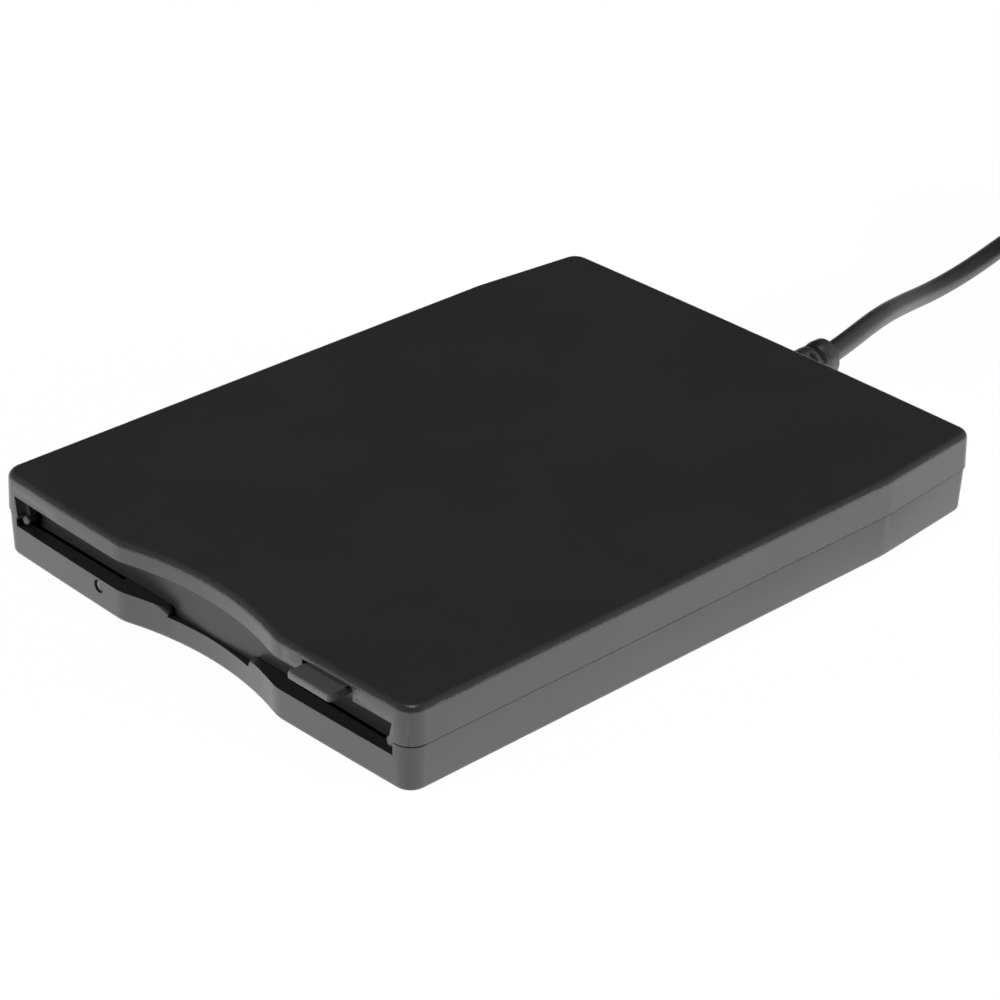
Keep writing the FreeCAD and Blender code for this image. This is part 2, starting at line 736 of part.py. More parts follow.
def stator_coils():
    coils = []
    base = floor_top + 0.5
    for index in range(coil_count):
        angle = 2 * math.pi * index / coil_count
        center = V(10.6 * math.cos(angle), spindle_y + 10.6 * math.sin(angle), base)
        coil = rod(2.9, 0.75, center, V(0, 0, 1)).cut(rod(1.1, 0.75, center, V(0, 0, 1)))
        coils.append(coil)
    return Part.makeCompound(coils)


def bearing_bush():
    outer = rod(bush_radius, 1.9, V(0, spindle_y, floor_top), V(0, 0, 1))
    return outer.cut(rod(spindle_radius + running_clearance, 3, V(0, spindle_y, floor_top + 0.25), V(0, 0, 1)))


def spindle_rotor():
    center = V(0, spindle_y, 0)
    up = V(0, 0, 1)
    cup = rod(rotor_radius, hub_top - 0.45 - rotor_base, center + V(0, 0, rotor_base), up)
    hollow = rod(rotor_radius - 1.2, 5.9 - rotor_base + 0.5, center + V(0, 0, rotor_base - 0.5), up)
    hub = rod(hub_radius, 0.5, center + V(0, 0, hub_top - 0.5), up)
    shaft = rod(spindle_radius, spindle_top - floor_top - 0.35, center + V(0, 0, floor_top + 0.35), up)
    drive_pin = rod(1.3, 1.0, center + V(8.2, 0, hub_top - 0.1), up)
    rotor = joined([cup.cut(hollow), hub, shaft, drive_pin])
    top_edges = [e for e in rotor.Edges if on_level(e, spindle_top)]
    return rotor.makeFillet(0.6, top_edges)


def guide_rods():
    length = motor_front - rod_front
    return Part.makeCompound([rod(rod_radius, length, V(x, rod_front, rod_z), V(0, 1, 0)) for x in (-rod_x, rod_x)])


def head_carriage():
    front = head_y - 4.0
    back = carriage_back
    parts = [box(-rod_x, rod_x, front, back, rod_z - 1.2, rod_z + 1.4)]
    parts[0] = parts[0].cut(box(-7.5, 7.5, head_y + 5.0, back - 4.0, 0, 10))
    for side in (-1, 1):
        x0, x1 = sorted((side * (rod_x - 2.2), side * (rod_x + 2.0)))
        parts.append(box(x0, x1, front, back - 8.0, rod_z - 1.6, rod_z + 1.6))
        x0, x1 = sorted((side * 6.3, side * 7.9))
        parts.append(box(x0, x1, arm_pivot_y - 1.4, back, rod_z - 1.0, arm_pivot_z + 1.3))
    parts.append(box(screw_x - 2.4, screw_x + 2.4, nut_front, back, rod_z - 1.2, screw_z + 2.2))
    parts.append(box(7.0, screw_x, nut_front, back, rod_z - 1.2, rod_z + 1.4))
    body = joined(parts)
    for x in (-rod_x, rod_x):
        body = body.cut(rod(rod_radius + running_clearance, 60, V(x, front - 5, rod_z), V(0, 1, 0)))
    body = body.cut(rod(screw_radius + running_clearance, 10, V(screw_x, back - 5, screw_z), V(0, 1, 0)))
    return body.cut(rod(arm_pin_radius, 30, V(-15, arm_pivot_y, arm_pivot_z), V(1, 0, 0)))


def lower_head():
    base = box(-2.6, 2.6, head_y - 3.0, head_y + 3.0, rod_z + 1.4, rod_z + 1.9)
    tip = box(-1.4, 1.4, head_y - 1.8, head_y + 1.8, rod_z + 1.9, 7.75)
    return joined([base, tip])


def upper_head_arm():
    plate = box(-6.0, 6.0, head_y - 3.0, arm_pivot_y + 1.2, 12.95, 13.65)
    plate = plate.cut(box(-3.0, 3.0, head_y + 5.0, arm_pivot_y - 5.0, 12, 15))
    parts = [plate]
    for side in (-1, 1):
        x0, x1 = sorted((side * 5.3, side * 6.0))
        parts.append(box(x0, x1, arm_pivot_y - 1.4, arm_pivot_y + 1.2, arm_pivot_z - 1.3, 13.65))
    body = joined(parts)
    return body.cut(rod(arm_pin_radius + running_clearance, 30, V(-15, arm_pivot_y, arm_pivot_z), V(1, 0, 0)))


def upper_head():
    base = box(-2.6, 2.6, head_y - 3.0, head_y + 3.0, 12.45, 12.95)
    tip = box(-1.4, 1.4, head_y - 1.8, head_y + 1.8, 11.75, 12.45)
    return joined([base, tip])


def arm_pivot_pin():
    return rod(arm_pin_radius, 15.8, V(-7.9, arm_pivot_y, arm_pivot_z), V(1, 0, 0))


def lead_screw():
    front = nut_front - head_travel - 0.05
    shaft = rod(screw_radius, motor_front + 1.0 - front, V(screw_x, front, screw_z), V(0, 1, 0))
    tip = rod(screw_radius * 0.45, 1.0, V(screw_x, front - 0.8, screw_z), V(0, 1, 0))
    return joined([shaft, tip])


def stepper_motor():
    can = rod(motor_radius, motor_length, V(screw_x, motor_front, screw_z), V(0, 1, 0))
    can = can.cut(rod(screw_radius + 0.2, 1.3, V(screw_x, motor_front - 0.1, screw_z), V(0, 1, 0)))
    can = can.cut(box(screw_x - 9, screw_x + 9, 0, 90, 0, inner_floor + 0.35))
    socket = box(screw_x - 3.0, screw_x + 3.0, motor_front + 2.0, motor_front + 7.0, screw_z + 3.4, screw_z + 5.4)
    return joined([can, socket])


def circuit_board():
    board = box(board_x0, board_x1, board_y0, board_y1, floor_top + 1.0, floor_top + 1.0 + board_thickness)
    for x, y in board_standoff_places():
        board = board.cut(rod(0.8, 4, V(x, y, floor_top), V(0, 0, 1)))
    return board


def board_standoff_places():
    return [(board_x0 + 2.0, board_y1 - 2.0), (board_x1 - 2.0, board_y1 - 2.0), (board_x1 - 2.0, board_y0 + 2.0)]


def board_standoffs():
    posts = []
    for x, y in board_standoff_places():
        post = rod(1.5, 1.0, V(x, y, floor_top), V(0, 0, 1))
        stud = rod(0.8, 1.0 + board_thickness + 0.2, V(x, y, floor_top), V(0, 0, 1))
        posts.append(post.fuse(stud).removeSplitter())
    return Part.makeCompound(posts)


def controller_chips():
    base = floor_top + 1.0 + board_thickness
    chips = []
    for x, y, size in ((board_x0 + 10.0, board_y0 + 10.0, 9.0), (board_x1 - 7.0, board_y0 + 8.0, 6.0)):
        body = box(x - size / 2, x + size / 2, y - size / 2, y + size / 2, base, base + 1.1)
        chips.append(body.makeChamfer(0.2, [e for e in body.Edges if on_level(e, base + 1.1)]))
    return Part.makeCompound(chips)


def board_sockets():
    base = floor_top + 1.0 + board_thickness
    front = board_y1 - 5.5
    flat = box(board_x0 + 3.5, board_x1 - 11.5, front, front + 3.0, base, base + 2.2)
    tall = box(board_x1 - 10.0, board_x1 - 4.1, front, front + 4.0, base, base + 3.4)
    sockets = [flat, tall]
    return Part.makeCompound([s.cut(s.copy().translated(V(0, 2.0, 0.7)).common(s)) for s in sockets])


# Strain relief: a neck held by both covers, then a barrel with staggered slots and an end ring
def strain_relief():
    wall_inner = rear_corner_y - wall
    start = wall_inner - 1.4
    root = rear_y + 0.02
    profile = [
        V(0, start, 0),
        V(relief_neck_radius + 1.5, start, 0),
        V(relief_neck_radius + 1.5, wall_inner - 0.02, 0),
        V(relief_neck_radius - 0.03, wall_inner - 0.02, 0),
        V(relief_neck_radius - 0.03, root, 0),
        V(relief_root_radius, root, 0),
        V(relief_root_radius + 0.1, relief_end - 3.0, 0),
        V(relief_ring_radius, relief_end - 2.4, 0),
        V(relief_ring_radius, relief_end - 0.5, 0),
        V(relief_ring_radius - 0.5, relief_end, 0),
        V(0, relief_end, 0),
    ]
    face = Part.Face(Part.makePolygon(profile + profile[:1]))
    body = face.revolve(V(0, 0, 0), V(0, 1, 0), 360)
    core = rod(cable_radius + 0.35, 30, V(0, rear_y - 5, 0), V(0, 1, 0))
    for index in range(4):
        y = rear_y + 1.6 + index * 2.1
        ring = rod(relief_ring_radius + 1, 1.0, V(0, y, 0), V(0, 1, 0)).cut(core)
        if index % 2:
            halves = [box(-9, 9, y - 1, y + 2, 1.1, 9), box(-9, 9, y - 1, y + 2, -9, -1.1)]
        else:
            halves = [box(1.1, 9, y - 1, y + 2, -9, 9), box(-9, -1.1, y - 1, y + 2, -9, 9)]
        for half in halves:
            body = body.cut(ring.common(half))
    body.translate(V(relief_x, 0, seam_z))
    return body


# Cable route: chosen points, then straight runs joined by tangent arcs
cable_route = [
    V(relief_x, relief_end, seam_z),
    V(relief_x, relief_end + 7.2, seam_z),
    V(-0.2, 103.0, 9.2),
    V(-5.9, 116.5, 6.2),
    V(-10.2, 131.0, 3.3),
    V(-13.2, 146.0, 2.1),
    V(-16.2, 162.0, 2.1),
    V(-18.4, 177.0, 2.1),
]
tail_route = [
    V(27.7, 177.0, 6.1),
    V(26.7, 170.0, 5.4),
    V(26.5, 163.5, 4.1),
]
coil_center = V(5.0, 189.0, coil_half_section)


# Wire of straight runs joined by arcs, and the list of arc radii
def tangent_route(points):
    edges = []
    radii = []
    start = points[0]
    for index in range(1, len(points) - 1):
        before, corner, after = points[index - 1], points[index], points[index + 1]
        way_in = (corner - before).normalize()
        way_out = (after - corner).normalize()
        turn = math.acos(max(-1.0, min(1.0, way_in.dot(way_out))))
        shorter = min((corner - before).Length, (after - corner).Length)
        setback = 0.45 * shorter
        radii.append(setback / math.tan(turn / 2))
        arc_start = corner - way_in * setback
        arc_end = corner + way_out * setback
        bisector = (way_out - way_in).normalize()
        middle = corner + bisector * (radii[-1] * (1 / math.cos(turn / 2) - 1))
        edges.append(Part.LineSegment(start, arc_start).toShape())
        edges.append(Part.Arc(arc_start, middle, arc_end).toShape())
        start = arc_end
    edges.append(Part.LineSegment(start, points[-1]).toShape())
    return Part.Wire(edges), radii


def swept_cable(points, name):
    path, radii = tangent_route(points)
    direction = (points[1] - points[0]).normalize()
    section = Part.Wire([Part.Circle(points[0], direction, cable_radius).toShape()])
    tube = path.makePipeShell([section], True, False)
    expected = math.pi * cable_radius ** 2 * path.Length
    print(name, "length", round(path.Length, 1), "volume ratio", round(tube.Volume / expected, 4))
    print(name, "radii", [round(radius, 1) for radius in radii])
    return tube


def usb_cable():
    return swept_cable(cable_route, "usb_cable")


def cable_tail():
    return swept_cable(tail_route, "cable_tail")


def cable_coil():
    half = coil_half_section
    section = box(coil_turn_radius - half, coil_turn_radius + half, -0.01, 0.0, -half, half)
    face = [f for f in section.Faces if abs(f.BoundBox.YMax) < 1e-6 and f.BoundBox.YLength < 1e-6][0]
    ring = face.revolve(V(0, 0, 0), V(0, 0, 1), 360)
    ring = ring.makeChamfer(half * 0.55, [e for e in ring.Edges if e.BoundBox.ZLength < 1e-4])
    ring.translate(coil_center)
    return ring


# Plug at the end of the tail, lying flat, its open end towards -Y
def plug_frame(x, y, z):
    end = tail_route[-1]
    return V(end.x + x, end.y + y, plug_body_height / 2 + z)


def plug_box(half_x, y0, y1, half_z, lift=0.0):
    a = plug_frame(-half_x, y0, lift - half_z)
    b = plug_frame(half_x, y1, lift + half_z)
    return box(a.x, b.x, a.y, b.y, a.z, b.z)


def usb_plug():
    body = plug_box(plug_body_width / 2, -plug_body_length, -5.0, plug_body_height / 2)
    body = fillet_where(body, 1.6, lambda e: e.BoundBox.YLength > 5)
    boot = Part.makeCone(3.0, 3.9, 5.2, plug_frame(0, 0, 0), V(0, -1, 0))
    return joined([body, boot])


def usb_plug_shell():
    y1 = -plug_body_length
    y0 = y1 - plug_shell_length + 6.6
    outer = plug_box(plug_shell_width / 2, y0, y1, plug_shell_height / 2)
    outer = fillet_where(outer, 0.5, lambda e: e.BoundBox.YLength > 5)
    inner = plug_box(
        plug_shell_width / 2 - plug_shell_wall, y0 - 1, y1 + 1, plug_shell_height / 2 - plug_shell_wall
    )
    shell = outer.cut(inner)
    for x in (-2.4, 2.4):
        shell = shell.cut(plug_box(1.1, y0 + 4.2, y0 + 6.4, 9).translated(V(x, 0, 0)))
    return shell


def usb_plug_tongue():
    y1 = -plug_body_length
    y0 = y1 - plug_shell_length + 7.4
    return plug_box(plug_shell_width / 2 - plug_shell_wall - 0.25, y0, y1, 0.95, 0.95)


def usb_plug_contacts():
    y1 = -plug_body_length
    y0 = y1 - plug_shell_length + 8.4
    contacts = []
    for x, length in ((-3.5, 7.4), (-1.0, 6.6), (1.0, 6.6), (3.5, 7.4)):
        contacts.append(plug_box(0.5, y1 - length, y1, 0.08, -0.08).translated(V(x, 0, 0)))
    return Part.makeCompound(contacts)


NODES = {
    "upper_cover": upper_cover,
    "lower_cover": lower_cover,
    "eject_button": eject_button,
    "dust_door": dust_door,
    "door_spring": door_spring,
    "light_pipe": light_pipe,
    "light_source": light_source,
    "front_board": front_board,
    "sensor_switches": sensor_switches,
    "rubber_feet": rubber_feet,
    "case_screws": case_screws,
    "rear_screws": rear_screws,
    "chassis": chassis,
    "slide_plate": slide_plate,
    "eject_springs": eject_springs,
    "disk_carrier": disk_carrier,
    "shutter_lever": shutter_lever,
    "lever_rivet": lever_rivet,
    "stator_board": stator_board,
    "stator_coils": stator_coils,
    "bearing_bush": bearing_bush,
    "spindle_rotor": spindle_rotor,
    "guide_rods": guide_rods,
    "head_carriage": head_carriage,
    "lower_head": lower_head,
    "upper_head_arm": upper_head_arm,
    "upper_head": upper_head,
    "arm_pivot_pin": arm_pivot_pin,
    "lead_screw": lead_screw,
    "stepper_motor": stepper_motor,
    "circuit_board": circuit_board,
    "board_standoffs": board_standoffs,
    "controller_chips": controller_chips,
    "board_sockets": board_sockets,
    "strain_relief": strain_relief,
    "usb_cable": usb_cable,
    "cable_coil": cable_coil,
    "cable_tail": cable_tail,
    "usb_plug": usb_plug,
    "usb_plug_shell": usb_plug_shell,
    "usb_plug_tongue": usb_plug_tongue,
    "usb_plug_contacts": usb_plug_contacts,
}

os.makedirs("parts", exist_ok=True)
for name, make in NODES.items():
    make().exportStep(f"parts/{name}.step")
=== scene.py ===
import json
import math
import bmesh
import bpy
import numpy as np
from mathutils import Matrix, Vector


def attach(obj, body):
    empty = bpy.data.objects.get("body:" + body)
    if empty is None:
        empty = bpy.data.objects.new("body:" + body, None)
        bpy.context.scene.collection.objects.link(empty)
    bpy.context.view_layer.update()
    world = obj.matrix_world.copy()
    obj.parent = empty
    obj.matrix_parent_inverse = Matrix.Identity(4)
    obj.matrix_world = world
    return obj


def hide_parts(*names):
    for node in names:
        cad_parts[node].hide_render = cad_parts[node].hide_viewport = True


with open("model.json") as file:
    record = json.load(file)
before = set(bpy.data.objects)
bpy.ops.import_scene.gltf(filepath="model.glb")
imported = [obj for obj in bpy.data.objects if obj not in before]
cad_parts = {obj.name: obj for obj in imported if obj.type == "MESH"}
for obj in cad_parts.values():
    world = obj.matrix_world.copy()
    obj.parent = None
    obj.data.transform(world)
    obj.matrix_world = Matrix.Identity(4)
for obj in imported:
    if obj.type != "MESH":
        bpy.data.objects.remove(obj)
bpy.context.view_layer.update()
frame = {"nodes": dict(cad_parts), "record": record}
nodes = frame["nodes"]
print("frame loaded:", len(nodes), "solids")


# Camera
camera = {"lens": 122.4, "sensorWidth": 36, "azimuth": 45.717, "elevation": 28.938, "roll": 1.317,
          "target": (0.002911, -0.000645, 0.0089), "distance": 0.588014,
          "clipStart": 0.01, "clipEnd": 20}


def placeCamera(c):
    az, el, roll = (math.radians(c[k]) for k in ("azimuth", "elevation", "roll"))
    back = Vector((math.sin(az) * math.cos(el), -math.cos(az) * math.cos(el), math.sin(el)))
    right = Vector((0, 0, 1)).cross(back).normalized()
    up = back.cross(right)
    tiltedRight = right * math.cos(roll) + up * math.sin(roll)
    tiltedUp = up * math.cos(roll) - right * math.sin(roll)
    spot = Vector(c["target"]) + back * c["distance"]
    data = bpy.data.cameras.new("photoCamera")
    data.lens = c["lens"]
    data.sensor_width = c["sensorWidth"]
    data.clip_start = c["clipStart"]
    data.clip_end = c["clipEnd"]
    obj = bpy.data.objects.new("photoCamera", data)
    bpy.context.scene.collection.objects.link(obj)
    turn = Matrix((tiltedRight, tiltedUp, back)).transposed().to_4x4()
    obj.matrix_world = Matrix.Translation(spot) @ turn
    bpy.context.scene.camera = obj


placeCamera(camera)
print("camera placed")


# Material helpers: a noise value is used between the two ends of this band
noiseBand = {"start": 0.3, "end": 0.7}


def newMaterial(name):
    mat = bpy.data.materials.new(name)
    mat.use_nodes = True
    tree = mat.node_tree
    shader = tree.nodes["Principled BSDF"]
    return mat, tree, shader


def addNode(tree, kind, **values):
    made = tree.nodes.new(kind)
    for key, value in values.items():
        if key in made.inputs:
            made.inputs[key].default_value = value
        else:
            setattr(made, key, value)
    return made


def objectPoints(tree):
    return addNode(tree, "ShaderNodeTexCoord").outputs["Object"]


def noiseOf(tree, scale, detail=2.0, roughness=0.5):
    noise = addNode(tree, "ShaderNodeTexNoise", Scale=scale, Detail=detail, Roughness=roughness)
    tree.links.new(objectPoints(tree), noise.inputs["Vector"])
    return noise.outputs["Fac"]


def spread(tree, fac, low, high):
    ranger = addNode(tree, "ShaderNodeMapRange")
    ranger.inputs["From Min"].default_value = noiseBand["start"]
    ranger.inputs["From Max"].default_value = noiseBand["end"]
    ranger.inputs["To Min"].default_value = low
    ranger.inputs["To Max"].default_value = high
    tree.links.new(fac, ranger.inputs["Value"])
    return ranger.outputs["Result"]


def tint(tree, fac, dark, light):
    ramp = addNode(tree, "ShaderNodeValToRGB")
    ramp.color_ramp.elements[0].position = noiseBand["start"]
    ramp.color_ramp.elements[1].position = noiseBand["end"]
    ramp.color_ramp.elements[0].color = (*dark, 1)
    ramp.color_ramp.elements[1].color = (*light, 1)
    tree.links.new(fac, ramp.inputs["Fac"])
    return ramp.outputs["Color"]


def bump(tree, height, strength, distance, under=None):
    made = addNode(tree, "ShaderNodeBump", Strength=strength, Distance=distance)
    tree.links.new(height, made.inputs["Height"])
    if under is not None:
        tree.links.new(under, made.inputs["Normal"])
    return made.outputs["Normal"]


# Light on sharp edges as if they were rounded by a small radius
def softEdges(tree, radius):
    made = addNode(tree, "ShaderNodeBevel", Radius=radius)
    made.samples = 4
    return made.outputs["Normal"]


# Moulded black plastic with a spark-eroded grain
def grainedPlastic(name, s):
    mat, tree, shader = newMaterial(name)
    cloud = noiseOf(tree, s["cloudScale"], 3.0)
    grain = noiseOf(tree, s["grainScale"], 3.0, 0.65)
    tree.links.new(tint(tree, cloud, s["dark"], s["light"]), shader.inputs["Base Color"])
    tree.links.new(spread(tree, grain, s["roughLow"], s["roughHigh"]), shader.inputs["Roughness"])
    normal = bump(tree, grain, s["grainStrength"], s["grainDepth"], softEdges(tree, s["edgeRadius"]))
    tree.links.new(normal, shader.inputs["Normal"])
    shader.inputs["IOR"].default_value = s["ior"]
    shader.inputs["Specular IOR Level"].default_value = s["specular"]
    return mat


shellFinish = {"cloudScale": 45, "grainScale": 2600,
               "dark": (0.036, 0.036, 0.0385), "light": (0.042, 0.042, 0.0445),
               "roughLow": 0.25, "roughHigh": 0.36, "grainStrength": 0.3, "grainDepth": 0.00006,
               "ior": 1.5, "specular": 1.0, "edgeRadius": 0.0002}
buttonFinish = dict(shellFinish, grainScale=3200, grainStrength=0.15,
                    dark=(0.15, 0.15, 0.155), light=(0.17, 0.17, 0.175),
                    roughLow=0.4, roughHigh=0.5, specular=0.15, edgeRadius=0.00025)
# The door is the same black plastic as the shell. Its darker base colour is painted shade, standing in for
# the shade that falls on it under the upper lip.
doorPaintedShadeFinish = dict(shellFinish, grainScale=2000, grainStrength=0.15,
                  dark=(0.017, 0.017, 0.018), light=(0.021, 0.021, 0.022),
                  roughLow=0.3, roughHigh=0.38, specular=0.6)
plugFinish = dict(shellFinish, grainScale=2200, grainStrength=0.2)
cableFinish = dict(shellFinish, cloudScale=90, grainScale=1500, grainStrength=0.1,
                   roughLow=0.34, roughHigh=0.46,
                   dark=(0.047, 0.047, 0.05), light=(0.054, 0.054, 0.057))
footFinish = dict(shellFinish, grainScale=1800, grainStrength=0.3, roughLow=0.7, roughHigh=0.85, specular=0.3)


# Metals: brushed or plated, with faint blotches
def sheetMetal(name, s):
    mat, tree, shader = newMaterial(name)
    cloud = noiseOf(tree, s["cloudScale"], 4.0)
    fine = noiseOf(tree, s["fineScale"], 2.0)
    tree.links.new(tint(tree, cloud, s["dark"], s["light"]), shader.inputs["Base Color"])
    tree.links.new(spread(tree, cloud, s["roughLow"], s["roughHigh"]), shader.inputs["Roughness"])
    tree.links.new(bump(tree, fine, s["fineStrength"], s["fineDepth"]), shader.inputs["Normal"])
    shader.inputs["Metallic"].default_value = 1.0
    return mat


zincFinish = {"cloudScale": 120, "fineScale": 1800, "dark": (0.5, 0.5, 0.5), "light": (0.66, 0.66, 0.65),
              "roughLow": 0.28, "roughHigh": 0.42, "fineStrength": 0.15, "fineDepth": 0.00003}
steelFinish = dict(zincFinish, roughLow=0.2, roughHigh=0.3)
nickelFinish = dict(zincFinish, dark=(0.66, 0.65, 0.62), light=(0.74, 0.73, 0.7),
                    roughLow=0.16, roughHigh=0.26)
brassFinish = dict(zincFinish, dark=(0.62, 0.45, 0.18), light=(0.75, 0.57, 0.26))
copperFinish = dict(zincFinish, dark=(0.5, 0.2, 0.08), light=(0.7, 0.32, 0.15), roughLow=0.3, roughHigh=0.45)


# Plain plastics and boards
def plainPlastic(name, s):
    mat, tree, shader = newMaterial(name)
    cloud = noiseOf(tree, s["cloudScale"], 3.0)
    tree.links.new(tint(tree, cloud, s["dark"], s["light"]), shader.inputs["Base Color"])
    tree.links.new(spread(tree, cloud, s["roughLow"], s["roughHigh"]), shader.inputs["Roughness"])
    return mat


boardFinish = {"cloudScale": 300, "dark": (0.012, 0.07, 0.03), "light": (0.02, 0.11, 0.05),
               "roughLow": 0.3, "roughHigh": 0.45}
whiteFinish = {"cloudScale": 200, "dark": (0.66, 0.64, 0.56), "light": (0.74, 0.73, 0.66),
               "roughLow": 0.35, "roughHigh": 0.5}
lensFinish = {"cloudScale": 400, "dark": (0.1, 0.1, 0.1), "light": (0.13, 0.13, 0.13),
              "roughLow": 0.12, "roughHigh": 0.2}
ceramicFinish = {"cloudScale": 400, "dark": (0.25, 0.26, 0.28), "light": (0.32, 0.33, 0.35),
                 "roughLow": 0.1, "roughHigh": 0.2}
chipFinish = {"cloudScale": 500, "dark": (0.015, 0.015, 0.016), "light": (0.025, 0.025, 0.026),
              "roughLow": 0.5, "roughHigh": 0.65}
carriageFinish = dict(chipFinish, dark=(0.06, 0.06, 0.065), light=(0.08, 0.08, 0.085))

finishes = {
    "shell_black": grainedPlastic("shellPlastic", shellFinish),
    "button_black": grainedPlastic("buttonPlastic", buttonFinish),
    "door_black": grainedPlastic("doorPlastic", doorPaintedShadeFinish),
    "plug_black": grainedPlastic("plugPlastic", plugFinish),
    "cable_black": grainedPlastic("cableJacket", cableFinish),
    "foot_rubber": grainedPlastic("footRubber", footFinish),
    "screw_zinc": sheetMetal("screwZinc", zincFinish),
    "sheet_zinc": sheetMetal("sheetZinc", zincFinish),
    "spring_steel": sheetMetal("springSteel", steelFinish),
    "ground_steel": sheetMetal("groundSteel", steelFinish),
    "motor_can": sheetMetal("motorCan", zincFinish),
    "plug_nickel": sheetMetal("plugNickel", nickelFinish),
    "bush_brass": sheetMetal("bushBrass", brassFinish),
    "contact_gold": sheetMetal("contactGold", brassFinish),
    "coil_copper": sheetMetal("coilCopper", copperFinish),
    "board_green": plainPlastic("boardGreen", boardFinish),
    "socket_white": plainPlastic("socketWhite", whiteFinish),
    "tongue_white": plainPlastic("tongueWhite", whiteFinish),
    "diode_body": plainPlastic("diodeBody", whiteFinish),
    "lens_clear": plainPlastic("lensClear", lensFinish),
    "head_ceramic": plainPlastic("headCeramic", ceramicFinish),
    "chip_black": plainPlastic("chipBlack", chipFinish),
    "switch_black": plainPlastic("switchBlack", chipFinish),
    "carriage_plastic": plainPlastic("carriagePlastic", carriageFinish),
}
slotOf = {part["node"]: part["material_slot"] for part in frame["record"]["subparts"]}
bodyOf = {node: body for body, names in frame["record"]["behaviour"]["bodies"].items() for node in names}
print("materials made")


# Small corrections of the dressed copies, all lengths in metres
seam = {"solidLow": 0.008975, "solidHigh": 0.009225, "low": 0.0092, "high": 0.00955}
slot = {"solidTop": 0.0125, "top": 0.0128, "solidBottom": 0.007, "bottom": 0.0069}
notch = {"solidBottom": 0.0051, "bottom": 0.0054, "slant": 0.0006}
peg = {"x": 0.0472, "z": 0.0091, "reach": 0.00107, "inward": 0.0008, "down": 0.0008}
button = {"sideBeyond": 0.035, "outward": 0.0005}
lensBack = 0.00035
reliefUp = 0.0003
frontZone = -0.06
sameLevel = 1e-6


def moveLevel(points, level, target):
    points[np.abs(points[:, 2] - level) < sameLevel, 2] = target


def reshapeUpper(points):
    """The seam edge and the slot's top edge move to their levels, and the pegs go inwards and down."""
    moveLevel(points, seam["solidHigh"], seam["high"])
    moveLevel(points, slot["solidTop"], slot["top"])
    for side in (-1, 1):
        onPeg = np.hypot(points[:, 0] - side * peg["x"], points[:, 2] - peg["z"]) < peg["reach"]
        onPeg &= points[:, 1] < frontZone
        points[onPeg, 0] -= side * peg["inward"]
        points[onPeg, 2] -= peg["down"]


def reshapeLower(points):
    """The seam edge and the floors of slot and notch move to their levels; the notch's sides get a slant."""
    moveLevel(points, seam["solidLow"], seam["low"])
    moveLevel(points, slot["solidBottom"], slot["bottom"])
    onFloor = (np.abs(points[:, 2] - notch["solidBottom"]) < sameLevel) & (points[:, 1] < frontZone)
    points[onFloor, 0] -= np.sign(points[onFloor, 0]) * notch["slant"]
    moveLevel(points, notch["solidBottom"], notch["bottom"])


def reshapeButton(points):
    """The right side of the button moves outwards."""
    points[points[:, 0] > button["sideBeyond"], 0] += button["outward"]


def reshapeLens(points):
    """The lens sits a little back in its hole."""
    points[:, 1] += lensBack


def reshapeRelief(points):
    """The relief moves up to the middle of the seam."""
    points[:, 2] += reliefUp


reshapers = {"upper_cover": reshapeUpper, "lower_cover": reshapeLower, "eject_button": reshapeButton,
             "light_pipe": reshapeLens, "strain_relief": reshapeRelief}


# A copy of a solid with doubles merged and smooth shading, which stops at edges above the sharp angle
dressing = {"mergeWithin": 2e-6, "shortestEdge": 1e-7, "sharpAngle": 28}


def smoothCopy(node, name):
    mesh = nodes[node].data.copy()
    mesh.name = name
    bm = bmesh.new()
    bm.from_mesh(mesh)
    bmesh.ops.remove_doubles(bm, verts=bm.verts, dist=dressing["mergeWithin"])
    bmesh.ops.dissolve_degenerate(bm, edges=bm.edges, dist=dressing["shortestEdge"])
    for face in bm.faces:
        face.smooth = True
    bm.to_mesh(mesh)
    bm.free()
    if node in reshapers:
        points = np.empty(len(mesh.vertices) * 3)
        mesh.vertices.foreach_get("co", points)
        points = points.reshape(-1, 3)
        reshapers[node](points)
        mesh.vertices.foreach_set("co", points.ravel())
        mesh.update()
    mesh.set_sharp_from_angle(angle=math.radians(dressing["sharpAngle"]))
    mesh.materials.clear()
    mesh.materials.append(finishes[slotOf[node]])
    obj = bpy.data.objects.new(name, mesh)
    bpy.context.scene.collection.objects.link(obj)
    weighted = obj.modifiers.new("evenNormals", "WEIGHTED_NORMAL")
    weighted.keep_sharp = True
    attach(obj, bodyOf[node])
    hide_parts(node)


def camelName(node):
    first, *rest = node.split("_")
    return first + "".join(word.capitalize() for word in rest)


cordNodes = ("usb_cable", "cable_coil", "cable_tail")
for node in nodes:
    if node not in cordNodes:
        smoothCopy(node, camelName(node))
print("solids dressed")


# Cable: along the route, round the coil and into the plug
cable = {"radius": 0.002, "length": 0.615, "coilCenter": (0.005, 0.189), "inner": 0.01995, "outer": 0.02405,
         "lowZ": 0.0021, "highZ": 0.0062, "turns": 3.5, "stepsPerTurn": 20,
         "goInwards": (300, 360), "goUp": (600, 660), "goOutwards": (920, 980)}
route = [(0.0039, 0.083125, 0.0094), (0.0036, 0.088, 0.01), (-0.0002, 0.103, 0.0099),
         (-0.0051, 0.1165, 0.0066), (-0.0097, 0.131, 0.0031), (-0.0126, 0.146, 0.0021),
         (-0.0158, 0.162, 0.0022), (-0.0184, 0.177, 0.0021)]
tail = [(0.0277, 0.177, 0.0061), (0.0267, 0.170, 0.0054), (0.0265, 0.1635, 0.0041)]


def smoothStep(x, start, end):
    """A soft step from 0 to 1: three times the square of the way, less twice its cube."""
    t = np.clip((x - start) / (end - start), 0, 1)
    return t * t * (3 - 2 * t)


